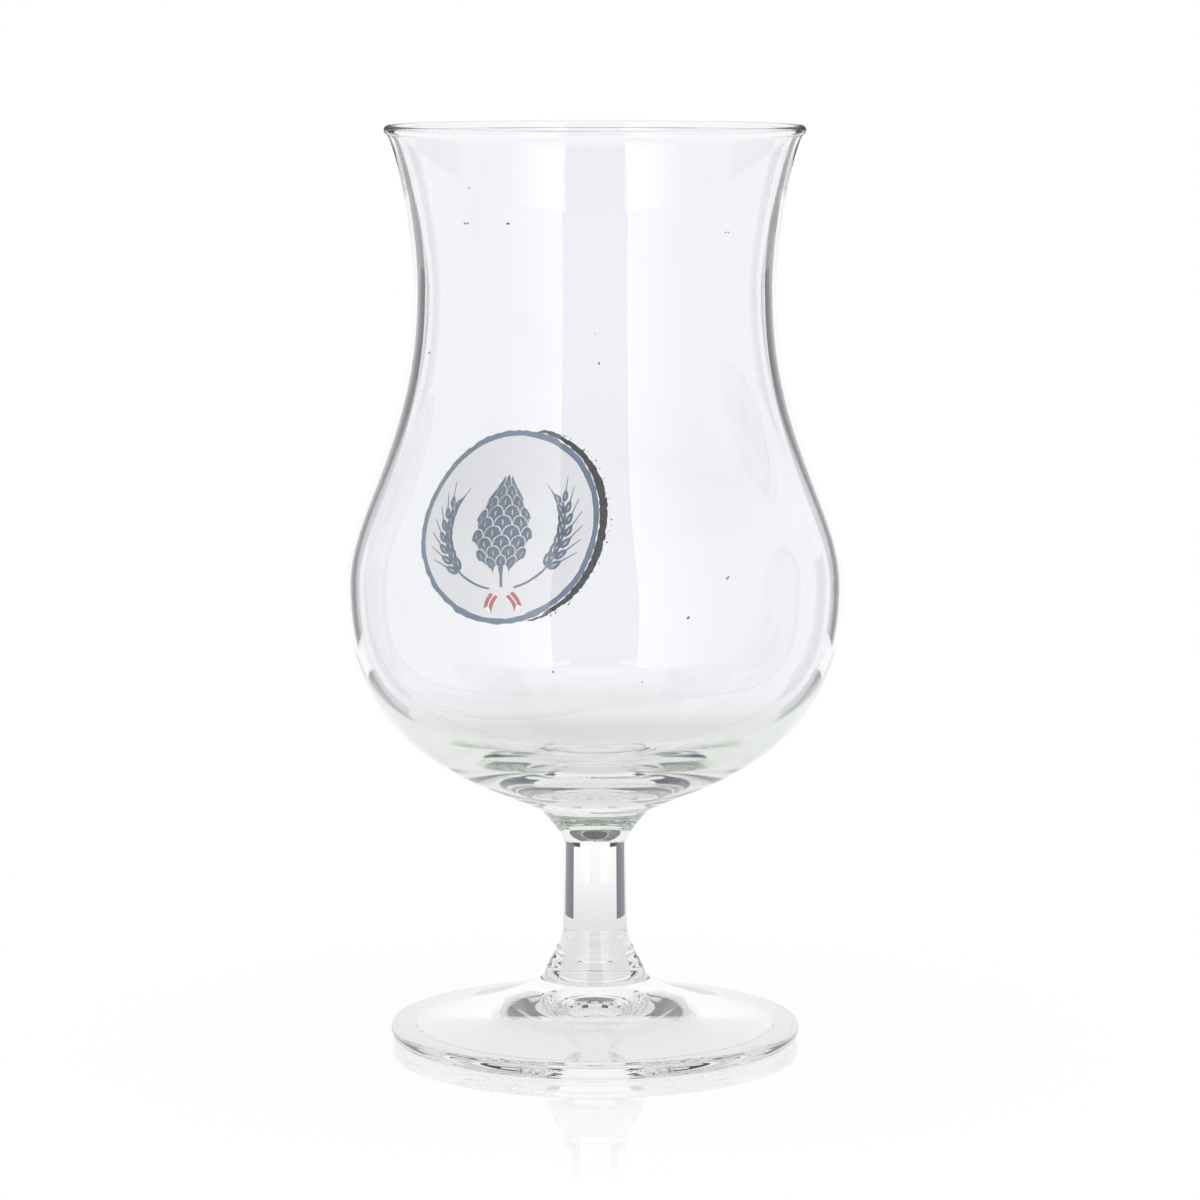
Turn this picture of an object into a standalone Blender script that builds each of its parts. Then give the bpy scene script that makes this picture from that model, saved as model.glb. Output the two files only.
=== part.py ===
# Footed tulip beer glass: a blown bowl, a solid stem and a domed foot, with a round print on the bowl.
# Metres, +Z up. The origin lies on the table, under the middle of the foot.

import math

import bmesh
import bpy

QUARTER = math.pi / 2

# Fused seams and ink layers are butted with this gap between neighbouring solids.
SEAM_GAP = 0.0003

# Foot
FOOT_RADIUS = 0.0352
FOOT_EDGE_THICKNESS = 0.0030
FOOT_EDGE_ROUND = 0.0010
FOOT_EDGE_UNDERCUT = 0.0016
FOOT_HEIGHT = 0.0106
FOOT_REST_WIDTH = 0.0035
FOOT_HOLLOW_DEPTH = 0.0056
HOLLOW_CROWN_PULL = 0.36
HOLLOW_RIM_SLOPE = math.radians(8)
HOLLOW_RIM_PULL = 0.40
DOME_ROOT_SLOPE = math.radians(30)
DOME_ROOT_PULL = 0.12
DOME_EDGE_SLOPE = math.radians(5)
DOME_EDGE_PULL = 0.56

# Stem, from the collar on the foot up to the trumpet under the bowl
COLLAR_RADIUS = 0.00885
COLLAR_HEIGHT = 0.0017
COLLAR_TOP_RADIUS = 0.0082
FLARE_LENGTH = 0.0070
FLARE_ANGLE = math.radians(25)
SHANK_LENGTH = 0.0150
SHANK_FOOT_RADIUS = 0.0055
SHANK_TOP_RADIUS = 0.00535
TRUMPET_LENGTH = 0.0051
TRUMPET_ROOT_ANGLE = math.radians(25)
TRUMPET_LIP_ANGLE = math.radians(48)
WELD_RADIUS = 0.0095

# Bowl, outside: rim to waist, waist to bulge, bulge to the weld on the stem
NECK_LENGTH = 0.0285
SHOULDER_LENGTH = 0.0496
BELLY_DEPTH = 0.0389
RIM_RADIUS = 0.0357
WAIST_RADIUS = 0.0308
BULGE_RADIUS = 0.0424
RIM_FLARE = math.radians(27)
BASE_SLOPE = math.radians(28.5)

# Bowl, wall: the base is measured at the axis
RIM_WALL = 0.0012
WAIST_WALL = 0.0020
BULGE_WALL = 0.0014
BASE_THICKNESS = 0.0075
FLOOR_PULL = 0.60

# Pulls shape the curves. Each is a share of the stretch that its curve runs over.
RIM_PULL = 0.20
WAIST_PULL_UP = 0.25
WAIST_PULL_DOWN = 0.49
BULGE_PULL_UP = 0.26
BULGE_PULL_DOWN = 0.77
WELD_PULL = 0.28
INNER_BELLY_PULL = 0.82
STEM_PULL = 0.34

# Print, on the back of the bowl and left of the middle as seen from the front
BADGE_RADIUS = 0.0180
BADGE_ABOVE_BULGE = 0.0061
BADGE_AZIMUTH = math.radians(-24)
BORDER_WIDTH = 0.0008
SHADOW_SHIFT = 0.0013
SHADOW_HALF_ANGLE = math.radians(75)
INK_THICKNESS = 0.0002

# Two ears of barley curve up inside the print, a hop cone stands between them and two ribbon ends hang below
EAR_MARGIN = 0.0031
EAR_HALF_WIDTH = 0.0020
EAR_START = math.radians(12)
EAR_SWEEP = math.radians(103)
EAR_GRAINS = 7
EAR_SCALLOP = 0.4
EAR_BLUNTNESS = 0.4
STALK_HALF_WIDTH = 0.0004
STALK_SHARE = 0.35
HOP_SIDE_MARGIN = 0.0036
HOP_TOP_RISE = 0.0014
HOP_FOOT_MARGIN = 0.0024
HOP_ROWS = 5
HOP_SCALLOP = 0.16
HOP_FULLNESS = 0.8
RIBBON_LENGTH = 0.0030
RIBBON_WIDTH = 0.0016
RIBBON_DROP = 0.0007
RIBBON_SPREAD = 0.0015
RIBBON_LEAN = math.radians(30)

# Facets
BOWL_SEGMENTS = 48
STEM_SEGMENTS = 32
BEAD_STEPS = 4
NECK_STEPS = 8
SHOULDER_STEPS = 12
BELLY_STEPS = 12
STEM_CURVE_STEPS = 6
DOME_STEPS = 9
EDGE_STEPS = 3
HOLLOW_STEPS = 10
SHARP_ANGLE = math.radians(35)
MERGE_DISTANCE = 0.00001

# Heights that follow from the sizes above
stem_foot_z = FOOT_HEIGHT + SEAM_GAP
collar_top_z = stem_foot_z + COLLAR_HEIGHT
shank_foot_z = collar_top_z + FLARE_LENGTH
shank_top_z = shank_foot_z + SHANK_LENGTH
stem_top_z = shank_top_z + TRUMPET_LENGTH
bowl_foot_z = stem_top_z + SEAM_GAP
bulge_z = bowl_foot_z + BELLY_DEPTH
waist_z = bulge_z + SHOULDER_LENGTH
rim_z = waist_z + NECK_LENGTH
lip_z = rim_z - RIM_WALL / 2

# Radii inside the print, from its edge towards its middle
border_inner = BADGE_RADIUS - BORDER_WIDTH
ground_radius = border_inner - SEAM_GAP
ear_ring_radius = ground_radius - EAR_MARGIN - EAR_HALF_WIDTH
ear_inner = ear_ring_radius - EAR_HALF_WIDTH


def curve_point(ends, t):
    # Point at t on the cubic curve with the four given control points.
    a, b, c, d = ends
    weights = ((1 - t) ** 3, 3 * t * (1 - t) ** 2, 3 * t * t * (1 - t), t ** 3)
    r = sum(w * p[0] for w, p in zip(weights, (a, b, c, d)))
    z = sum(w * p[1] for w, p in zip(weights, (a, b, c, d)))
    return r, z


def curve_points(ends, steps):
    return [curve_point(ends, i / steps) for i in range(steps + 1)]


def arc_points(centre, radius_r, radius_z, start, stop, steps):
    # Quarter and half rounds in the profile plane. Angles run from +R towards +Z.
    points = []
    for i in range(steps + 1):
        angle = start + (stop - start) * i / steps
        points.append((centre[0] + radius_r * math.cos(angle), centre[1] + radius_z * math.sin(angle)))
    return points


def handle(point, length, angle):
    # Control point at a distance from the end of a curve. The angle runs from +R towards +Z.
    return point[0] + length * math.cos(angle), point[1] + length * math.sin(angle)


def neck_curve(rim_radius, waist_radius):
    rim = (rim_radius, lip_z)
    return (rim,
            handle(rim, RIM_PULL * NECK_LENGTH, -QUARTER - RIM_FLARE),
            (waist_radius, waist_z + WAIST_PULL_UP * NECK_LENGTH),
            (waist_radius, waist_z))


def shoulder_curve(waist_radius, bulge_radius):
    return ((waist_radius, waist_z),
            (waist_radius, waist_z - WAIST_PULL_DOWN * SHOULDER_LENGTH),
            (bulge_radius, bulge_z + BULGE_PULL_UP * SHOULDER_LENGTH),
            (bulge_radius, bulge_z))


def outer_belly_curve():
    weld = (WELD_RADIUS, bowl_foot_z)
    return ((BULGE_RADIUS, bulge_z),
            (BULGE_RADIUS, bulge_z - BULGE_PULL_DOWN * BELLY_DEPTH),
            handle(weld, WELD_PULL * BELLY_DEPTH, BASE_SLOPE),
            weld)


def inner_belly_curve():
    inner_radius = BULGE_RADIUS - BULGE_WALL
    floor_z = bowl_foot_z + BASE_THICKNESS
    depth = bulge_z - floor_z
    return ((inner_radius, bulge_z),
            (inner_radius, bulge_z - INNER_BELLY_PULL * depth),
            (FLOOR_PULL * inner_radius, floor_z),
            (0.0, floor_z))


def bowl_profile():
    outside = curve_points(neck_curve(RIM_RADIUS, WAIST_RADIUS), NECK_STEPS)
    outside += curve_points(shoulder_curve(WAIST_RADIUS, BULGE_RADIUS), SHOULDER_STEPS)[1:]
    outside += curve_points(outer_belly_curve(), BELLY_STEPS)[1:]
    waist_inner = WAIST_RADIUS - WAIST_WALL
    inside = curve_points(neck_curve(RIM_RADIUS - RIM_WALL, waist_inner), NECK_STEPS)
    inside += curve_points(shoulder_curve(waist_inner, BULGE_RADIUS - BULGE_WALL), SHOULDER_STEPS)[1:]
    inside += curve_points(inner_belly_curve(), BELLY_STEPS)[1:]
    bead_centre = (RIM_RADIUS - RIM_WALL / 2, lip_z)
    bead = arc_points(bead_centre, RIM_WALL / 2, RIM_WALL / 2, math.pi, 0, BEAD_STEPS)
    return outside + [(0.0, bowl_foot_z)] + inside[::-1] + bead[1:-1]


def stem_profile():
    lip = (WELD_RADIUS, stem_top_z)
    crease = (SHANK_TOP_RADIUS, shank_top_z)
    pull = STEM_PULL * TRUMPET_LENGTH
    trumpet = (lip, handle(lip, pull, -QUARTER - TRUMPET_LIP_ANGLE),
               handle(crease, pull, QUARTER - TRUMPET_ROOT_ANGLE), crease)
    shank_foot = (SHANK_FOOT_RADIUS, shank_foot_z)
    collar = (COLLAR_TOP_RADIUS, collar_top_z)
    pull = STEM_PULL * FLARE_LENGTH
    flare = (shank_foot, handle(shank_foot, pull, -QUARTER),
             handle(collar, pull, QUARTER + FLARE_ANGLE), collar)
    outside = curve_points(trumpet, STEM_CURVE_STEPS) + curve_points(flare, STEM_CURVE_STEPS)
    return [(0.0, stem_top_z)] + outside + [(COLLAR_RADIUS, stem_foot_z), (0.0, stem_foot_z)]


def foot_profile():
    edge_radius = FOOT_RADIUS - FOOT_EDGE_ROUND
    widest_z = FOOT_EDGE_THICKNESS - FOOT_EDGE_ROUND
    run = edge_radius - COLLAR_RADIUS
    root = (COLLAR_RADIUS, FOOT_HEIGHT)
    edge = (edge_radius, FOOT_EDGE_THICKNESS)
    dome = (root, handle(root, DOME_ROOT_PULL * run, -DOME_ROOT_SLOPE),
            handle(edge, DOME_EDGE_PULL * run, math.pi - DOME_EDGE_SLOPE), edge)
    rest_radius = FOOT_RADIUS - FOOT_EDGE_UNDERCUT
    hollow_radius = rest_radius - FOOT_REST_WIDTH
    points = [(0.0, FOOT_HEIGHT)] + curve_points(dome, DOME_STEPS)
    shoulder = (edge_radius, widest_z)
    points += arc_points(shoulder, FOOT_EDGE_ROUND, FOOT_EDGE_ROUND, QUARTER, 0, EDGE_STEPS)[1:]
    heel = (rest_radius, widest_z)
    points += arc_points(heel, FOOT_EDGE_UNDERCUT, widest_z, 0, -QUARTER, EDGE_STEPS)[1:]
    rest = (hollow_radius, 0.0)
    crown = (0.0, FOOT_HOLLOW_DEPTH)
    hollow = (rest, handle(rest, HOLLOW_RIM_PULL * hollow_radius, math.pi - HOLLOW_RIM_SLOPE),
              (HOLLOW_CROWN_PULL * hollow_radius, FOOT_HOLLOW_DEPTH), crown)
    return points + curve_points(hollow, HOLLOW_STEPS)


def wall_at(z):
    # Outer radius of the bowl at a height, and how fast it grows with height.
    if z > bulge_z:
        ends = shoulder_curve(WAIST_RADIUS, BULGE_RADIUS)
    else:
        ends = outer_belly_curve()
    low, high = 0.0, 1.0
    for _ in range(40):
        middle = (low + high) / 2
        if curve_point(ends, middle)[1] > z:
            low = middle
        else:
            high = middle
    step = 0.001
    above = curve_point(ends, low - step)
    below = curve_point(ends, low + step)
    return curve_point(ends, low)[0], (above[0] - below[0]) / (above[1] - below[1])


def on_wall(u, v, lift):
    # Point at u along and v up from the print's middle, lifted off the glass along its normal.
    z = bulge_z + BADGE_ABOVE_BULGE + v
    radius, slope = wall_at(z)
    angle = BADGE_AZIMUTH + u / radius
    length = math.hypot(1, slope)
    radius += lift / length
    z -= lift * slope / length
    return radius * math.sin(angle), radius * math.cos(angle), z


def finish(name, mesh, material):
    mesh.shade_smooth()
    mesh.set_sharp_from_angle(angle=SHARP_ANGLE)
    obj = bpy.data.objects.new(name, mesh)
    obj.data.materials.append(material)
    bpy.context.scene.collection.objects.link(obj)
    return obj


def turned(name, profile, segments, material):
    # Solid of revolution. The profile runs down its outer side and back up its inner side.
    mesh = bpy.data.meshes.new(name)
    count = len(profile)
    edges = [(i, (i + 1) % count) for i in range(count)]
    if profile[0][0] == 0.0 and profile[-1][0] == 0.0:
        edges = edges[:-1]
    mesh.from_pydata([(r, 0.0, z) for r, z in profile], edges, [])
    obj = finish(name, mesh, material)
    screw = obj.modifiers.new("turn", "SCREW")
    screw.axis = "Z"
    screw.angle = math.tau
    screw.steps = segments
    screw.render_steps = segments
    screw.use_merge_vertices = True
    screw.merge_threshold = MERGE_DISTANCE
    screw.use_smooth_shade = True
    return obj


def printed(name, left_edge, right_edge, stations, columns, lift, material):
    # Ink patch between two long edges, each a function of t from 0 to 1, laid on the wall at one lift.
    bm = bmesh.new()
    grid = []
    for i in range(stations + 1):
        a = left_edge(i / stations)
        b = right_edge(i / stations)
        row = []
        for j in range(columns + 1):
            s = j / columns
            row.append(bm.verts.new((a[0] + (b[0] - a[0]) * s, a[1] + (b[1] - a[1]) * s, 0.0)))
        grid.append(row)
    for lower, upper in zip(grid, grid[1:]):
        for j in range(columns):
            bm.faces.new((lower[j], lower[j + 1], upper[j + 1], upper[j]))
    bmesh.ops.remove_doubles(bm, verts=bm.verts, dist=MERGE_DISTANCE)
    bmesh.ops.triangulate(bm, faces=bm.faces)
    top = bmesh.ops.extrude_face_region(bm, geom=bm.faces[:])
    for vert in top["geom"]:
        if isinstance(vert, bmesh.types.BMVert):
            vert.co.z = INK_THICKNESS
    for vert in bm.verts:
        vert.co = on_wall(vert.co.x, vert.co.y, lift + vert.co.z)
    bmesh.ops.triangulate(bm, faces=bm.faces)
    bmesh.ops.recalc_face_normals(bm, faces=bm.faces)
    mesh = bpy.data.meshes.new(name)
    bm.to_mesh(mesh)
    bm.free()
    return finish(name, mesh, material)


def on_circle(radius, angle, shift=0.0):
    # Print coordinates on a circle, with the angle from the bottom towards the right.
    return shift + radius * math.sin(angle), -radius * math.cos(angle)


def badge_pieces(grey, blue, black, red):
    ground_lift = SEAM_GAP
    motif_lift = ground_lift + INK_THICKNESS + SEAM_GAP
    printed("badge_ground",
            lambda t: on_circle(ground_radius, -math.pi * t),
            lambda t: on_circle(ground_radius, math.pi * t), 16, 12, ground_lift, grey)
    printed("badge_border",
            lambda t: on_circle(border_inner, math.tau * t),
            lambda t: on_circle(BADGE_RADIUS, math.tau * t), 56, 1, ground_lift, blue)

    def shadow_angle(t):
        return math.pi / 2 + SHADOW_HALF_ANGLE * (2 * t - 1)

    shadow_inner = BADGE_RADIUS + SEAM_GAP
    printed("badge_shadow",
            lambda t: on_circle(shadow_inner, shadow_angle(t)),
            lambda t: on_circle(shadow_inner, shadow_angle(t), SHADOW_SHIFT), 24, 1, ground_lift, black)

    hop_half_width = ear_inner - HOP_SIDE_MARGIN
    hop_foot = HOP_FOOT_MARGIN - ear_inner
    hop_top = ear_inner + HOP_TOP_RISE

    def hop_edge(side):
        def edge(t):
            swell = math.sin(math.pi * t ** HOP_FULLNESS)
            scallop = 1 - HOP_SCALLOP * (1 - abs(math.sin(HOP_ROWS * math.pi * t)))
            return side * hop_half_width * swell * scallop, hop_foot + (hop_top - hop_foot) * t
        return edge

    printed("hop_cone", hop_edge(-1), hop_edge(1), 20, 4, motif_lift, blue)

    def ear_edge(side, outer):
        def edge(t):
            if t < STALK_SHARE:
                half = STALK_HALF_WIDTH
            else:
                grain = min(1, (t - STALK_SHARE) / (1 - STALK_SHARE))
                scallop = 1 - EAR_SCALLOP * (1 - abs(math.sin(EAR_GRAINS * math.pi * grain)))
                swell = math.sin(math.pi * grain) ** EAR_BLUNTNESS
                half = STALK_HALF_WIDTH + (EAR_HALF_WIDTH - STALK_HALF_WIDTH) * scallop * swell
            return on_circle(ear_ring_radius + outer * half, side * (EAR_START + EAR_SWEEP * t))
        return edge

    ribbon_top = -(ear_ring_radius + STALK_HALF_WIDTH + RIBBON_DROP)

    def ribbon_edge(side, outer):
        def edge(t):
            across = (RIBBON_WIDTH / 2) * outer
            along = RIBBON_LENGTH * t
            u = RIBBON_SPREAD + along * math.sin(RIBBON_LEAN) + across * math.cos(RIBBON_LEAN)
            v = ribbon_top - along * math.cos(RIBBON_LEAN) + across * math.sin(RIBBON_LEAN)
            return side * u, v
        return edge

    for side, word in ((-1, "left"), (1, "right")):
        printed("barley_" + word, ear_edge(side, -1), ear_edge(side, 1), 32, 1, motif_lift, blue)
        printed("ribbon_" + word, ribbon_edge(side, -1), ribbon_edge(side, 1), 2, 1, motif_lift, red)


def material(name, colour, roughness, transmission=0.0):
    made = bpy.data.materials.new(name)
    made.use_nodes = True
    shader = made.node_tree.nodes["Principled BSDF"]
    shader.inputs["Base Color"].default_value = (*colour, 1.0)
    shader.inputs["Roughness"].default_value = roughness
    shader.inputs["Metallic"].default_value = 0.0
    shader.inputs["Transmission Weight"].default_value = transmission
    shader.inputs["IOR"].default_value = 1.52
    return made


def main():
    for obj in list(bpy.data.objects):
        bpy.data.objects.remove(obj, do_unlink=True)
    bowl_glass = material("bowl_glass", (0.96, 0.97, 0.97), 0.02, 1.0)
    stem_glass = material("stem_glass", (0.95, 0.97, 0.96), 0.02, 1.0)
    foot_glass = material("foot_glass", (0.94, 0.96, 0.95), 0.02, 1.0)
    grey = material("ink_silver_grey", (0.68, 0.69, 0.71), 0.35)
    blue = material("ink_blue_grey", (0.15, 0.21, 0.28), 0.35)
    black = material("ink_black", (0.01, 0.01, 0.015), 0.35)
    red = material("ink_red", (0.72, 0.08, 0.06), 0.35)
    turned("foot", foot_profile(), BOWL_SEGMENTS, foot_glass)
    turned("stem", stem_profile(), STEM_SEGMENTS, stem_glass)
    turned("bowl", bowl_profile(), BOWL_SEGMENTS, bowl_glass)
    badge_pieces(grey, blue, black, red)


main()
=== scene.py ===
import bisect
import math
import random

import bmesh
import bpy
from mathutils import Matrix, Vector, noise
from mathutils.geometry import delaunay_2d_cdt


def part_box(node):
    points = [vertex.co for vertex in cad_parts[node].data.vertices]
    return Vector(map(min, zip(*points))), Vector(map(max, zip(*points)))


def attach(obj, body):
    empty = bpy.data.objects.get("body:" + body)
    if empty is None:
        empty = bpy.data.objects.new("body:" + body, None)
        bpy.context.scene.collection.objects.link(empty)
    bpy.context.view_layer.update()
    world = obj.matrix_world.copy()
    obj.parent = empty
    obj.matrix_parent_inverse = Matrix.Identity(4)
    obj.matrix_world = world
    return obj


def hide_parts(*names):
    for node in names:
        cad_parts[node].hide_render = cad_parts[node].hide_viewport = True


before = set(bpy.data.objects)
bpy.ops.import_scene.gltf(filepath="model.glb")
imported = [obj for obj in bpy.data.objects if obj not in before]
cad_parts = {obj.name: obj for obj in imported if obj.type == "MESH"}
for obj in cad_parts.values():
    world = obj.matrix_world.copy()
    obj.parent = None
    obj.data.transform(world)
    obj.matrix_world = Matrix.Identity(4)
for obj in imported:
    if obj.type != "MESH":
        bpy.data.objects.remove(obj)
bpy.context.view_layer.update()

mm = 0.001
quarter = math.pi / 2
white = (1, 1, 1)
bounces = 128  # light runs far along the wall before it leaves
scene = bpy.context.scene
scene.view_settings.view_transform = "Standard"
scene.cycles.max_bounces = bounces
scene.cycles.transmission_bounces = bounces
scene.cycles.glossy_bounces = bounces
print("frame loaded:", ", ".join(sorted(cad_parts)))


# small helpers for meshes and node trees

def addObject(name, data):
    obj = bpy.data.objects.new(name, data)
    scene.collection.objects.link(obj)
    return obj


def addMesh(name, verts, edges=(), faces=()):
    mesh = bpy.data.meshes.new(name)
    mesh.from_pydata(verts, edges, faces)
    return mesh


def newMaterial(name):
    material = bpy.data.materials.new(name)
    material.use_nodes = True
    return material, material.node_tree


def fill(tree, node, inputs):  # gives each socket a link from another one, or a plain value
    for key, value in inputs.items():
        if isinstance(value, bpy.types.NodeSocket):
            tree.links.new(value, node.inputs[key])
        else:
            node.inputs[key].default_value = value


def addNode(tree, kind, inputs=None, **settings):
    node = tree.nodes.new(kind)
    for key, value in settings.items():
        setattr(node, key, value)
    fill(tree, node, inputs or {})
    return node


def mathNode(tree, operation, *values):
    return addNode(tree, "ShaderNodeMath", dict(enumerate(values)), operation=operation).outputs[0]


def product(tree, *values):
    result = values[0]
    for value in values[1:]:
        result = mathNode(tree, "MULTIPLY", result, value)
    return result


def remap(tree, value, low, high, toLow=0.0, toHigh=1.0, kind="LINEAR"):
    inputs = dict(enumerate((value, low, high, toLow, toHigh)))
    return addNode(tree, "ShaderNodeMapRange", inputs, interpolation_type=kind).outputs[0]


def blendColour(tree, factor, first, second, kind="MIX"):
    first, second = (c if isinstance(c, bpy.types.NodeSocket) else (*c, 1) for c in (first, second))
    inputs = {"Factor": factor, 6: first, 7: second}
    return addNode(tree, "ShaderNodeMix", inputs, data_type="RGBA", blend_type=kind).outputs[2]


def mixShader(tree, share, first, second):
    return addNode(tree, "ShaderNodeMixShader", {0: share, 1: first.outputs[0], 2: second.outputs[0]})


def objectPlace(tree):
    return addNode(tree, "ShaderNodeTexCoord").outputs["Object"]


def splitXYZ(tree, vector):
    return addNode(tree, "ShaderNodeSeparateXYZ", {0: vector}).outputs


def joinXYZ(tree, **axes):
    return addNode(tree, "ShaderNodeCombineXYZ", axes).outputs[0]


def newGroup(name, kind, inputs, outputs):  # a node group, with its sockets given as names and kinds
    tree = bpy.data.node_groups.new(name, kind + "NodeTree")
    for way, sockets in (("INPUT", inputs), ("OUTPUT", outputs)):
        for label, socket in sockets.items():
            tree.interface.new_socket(label, in_out=way, socket_type="NodeSocket" + socket)
    return tree, addNode(tree, "NodeGroupInput").outputs


def closeGroup(tree, geometry, material):  # makes instances real, paints them and hands them on
    real = addNode(tree, "GeometryNodeRealizeInstances", {"Geometry": geometry})
    paint = addNode(tree, "GeometryNodeSetMaterial", {"Geometry": real.outputs[0], "Material": material})
    addNode(tree, "NodeGroupOutput", {0: paint.outputs[0]})
    return tree


# camera

cameraSet = {
    "distance": 800 * mm,
    "height": 177 * mm,
    "aside": 0.85 * mm,  # the glass stands a little left of the middle of the picture
    "pitch": math.radians(7.19),
    "lens": 141.3,
    "sensor": 36.0,
}


def placeCamera():
    s = cameraSet
    data = bpy.data.cameras.new("photoCamera")
    data.sensor_width = s["sensor"]
    data.lens = s["lens"]
    data.dof.use_dof = False
    camera = addObject("photoCamera", data)
    camera.location = (s["aside"], -s["distance"], s["height"])
    camera.rotation_euler = (quarter - s["pitch"], 0, 0)
    scene.camera = camera


placeCamera()


# white studio: an even world, a white table, and flags and softboxes that only the glass sees

studioSet = {
    "tableRadius": 170 * mm,
    "tableSides": 128,
    "tableWhite": 0.96,
    # painted shade: the grey glow of the table near the glass, seen only through or in the glass
    "paintedShadeThroughGlass": (0.78, 0.775, 0.79),
    "greyFrom": 85 * mm,  # from here out it turns white through the glass too
    "shadowShare": 0.12,  # of the board near the glass that takes shadow
    "polishRoughness": 0.006,
    "polishIor": 1.8,
    "polishFrom": 32 * mm,  # the mirror image fades out between these
    "polishTo": 108 * mm,
    "cardSteps": 12,
    "flagTint": (0.84, 0.88, 1.30),
    "ringRadius": 2.6,  # far cards, seen only through or in the glass
    "throughReach": (-0.45, 0.8),
    "throughCards": ((143, 160, 0.045, 0.045),),  # azimuths from the camera's side, brightness at both
    "mirrorReach": (-2.4, 4.5),
    "mirrorCards": ((0, 20, 0.40, 0.40), (20, 62, 2.80, 0.75), (62, 115, 0.80, 0.90)),
    "rimFlags": ((-165, -115), (115, 165)),  # they darken the ends of the rim
    "rimFlagRadius": 75 * mm,
    "rimFlagReach": (146 * mm, 195 * mm),
    "rimGrey": 0.14,
    "roofFrom": math.radians(58),  # height of its edge, as the glass sees it
    "roofWiden": 1.02,  # it stands just outside the ring
    "roofHigh": 4.5,
    "roofSides": 64,
    "roofGrey": 0.12,
    "lowCards": (-135, -45, 45, 135),  # middle azimuths of the low cards that the stem and the foot see
    "lowHalf": 15,
    "lowRadius": 97 * mm,
    "lowReach": (0.5 * mm, 40 * mm),
    "lowGrey": 0.17,
    "lowTint": (0.92, 0.94, 1.12),
    "oneBodyDepth": 2.5,  # a ray that crosses more faces has met a second body of glass
}


def seenBy(obj, glossy=False, transmission=False):  # hidden from all other rays
    obj.visible_glossy = glossy
    obj.visible_transmission = transmission
    for rays in ("camera", "diffuse", "volume_scatter", "shadow"):
        setattr(obj, "visible_" + rays, False)


def cardPaint(name, bright, tint=white, span=None, oneBody=False):  # a span of azimuths has two brightnesses
    material, tree = newMaterial(name)
    tree.nodes.clear()
    if span:
        place = splitXYZ(tree, objectPlace(tree))
        azimuth = mathNode(tree, "ARCTAN2", mathNode(tree, "ABSOLUTE", place["X"]),
                           product(tree, place["Y"], -1.0))
        bright = remap(tree, azimuth, *map(math.radians, span), *bright)
    look = addNode(tree, "ShaderNodeEmission", {"Color": (*tint, 1), "Strength": bright})
    if oneBody:  # seen through the stem or the foot, while rays through both walls of the bowl pass it
        depth = addNode(tree, "ShaderNodeLightPath").outputs["Transmission Depth"]
        passes = mathNode(tree, "GREATER_THAN", depth, studioSet["oneBodyDepth"])
        look = mixShader(tree, passes, look, addNode(tree, "ShaderNodeBsdfTransparent"))
    addNode(tree, "ShaderNodeOutputMaterial", {"Surface": look.outputs[0]})
    return material


def tablePaint():  # a polished white board to the eye, with painted grey shade near the glass for rays through or off the glass, plain white to the light
    s = studioSet
    material, tree = newMaterial("tableWhite")
    tree.nodes.clear()
    path = addNode(tree, "ShaderNodeLightPath").outputs
    place = splitXYZ(tree, objectPlace(tree))
    squares = [mathNode(tree, "POWER", place[axis], 2.0) for axis in ("X", "Y")]
    reach = mathNode(tree, "SQRT", mathNode(tree, "ADD", *squares))
    near = remap(tree, reach, s["polishFrom"], s["polishTo"], 1.0, 0.0, "SMOOTHSTEP")
    edge = remap(tree, reach, s["greyFrom"], s["tableRadius"], kind="SMOOTHSTEP")
    # painted shade: grey near the glass, fading to white towards the edge, for rays through or off the glass
    grey = blendColour(tree, edge, s["paintedShadeThroughGlass"], white)
    plain = addNode(tree, "ShaderNodeBsdfDiffuse", {"Color": (s["tableWhite"],) * 3 + (1,)})
    glow = addNode(tree, "ShaderNodeEmission")
    through = addNode(tree, "ShaderNodeEmission", {"Color": grey})
    mirror = addNode(tree, "ShaderNodeBsdfGlossy", {"Color": (*white, 1), "Roughness": s["polishRoughness"]})
    polish = addNode(tree, "ShaderNodeFresnel", {"IOR": s["polishIor"]}).outputs[0]
    look = mixShader(tree, product(tree, near, s["shadowShare"]), glow, plain)
    look = mixShader(tree, product(tree, near, polish), look, mirror)
    look = mixShader(tree, path["Is Camera Ray"], plain, look)
    viaGlass = mathNode(tree, "MAXIMUM", path["Is Glossy Ray"], path["Is Transmission Ray"])
    look = mixShader(tree, viaGlass, look, through)
    addNode(tree, "ShaderNodeOutputMaterial", {"Surface": look.outputs[0]})
    return material


def stagePiece(name, verts, faces, paint):
    mesh = addMesh(name, verts, faces=faces)
    mesh.materials.append(paint)
    piece = addObject(name, mesh)
    return piece


def aroundAxis(radius, azimuth, z):  # the azimuth runs from the camera's side, -Y
    return radius * math.sin(azimuth), -radius * math.cos(azimuth), z


def curvedCard(name, start, stop, radius, reach, paint, **rays):  # azimuths in degrees
    steps = studioSet["cardSteps"]
    azimuths = [math.radians(start + (stop - start) * i / steps) for i in range(steps + 1)]
    verts = [aroundAxis(radius, azimuth, z) for azimuth in azimuths for z in reach]
    faces = [(2 * i, 2 * i + 2, 2 * i + 3, 2 * i + 1) for i in range(steps)]
    seenBy(stagePiece(name, verts, faces, paint), **rays)


def disc(name, radius, z, sides, paint):
    verts = [aroundAxis(radius, math.tau * i / sides, z) for i in range(sides)]
    return stagePiece(name, verts, [list(range(sides))], paint)


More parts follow.
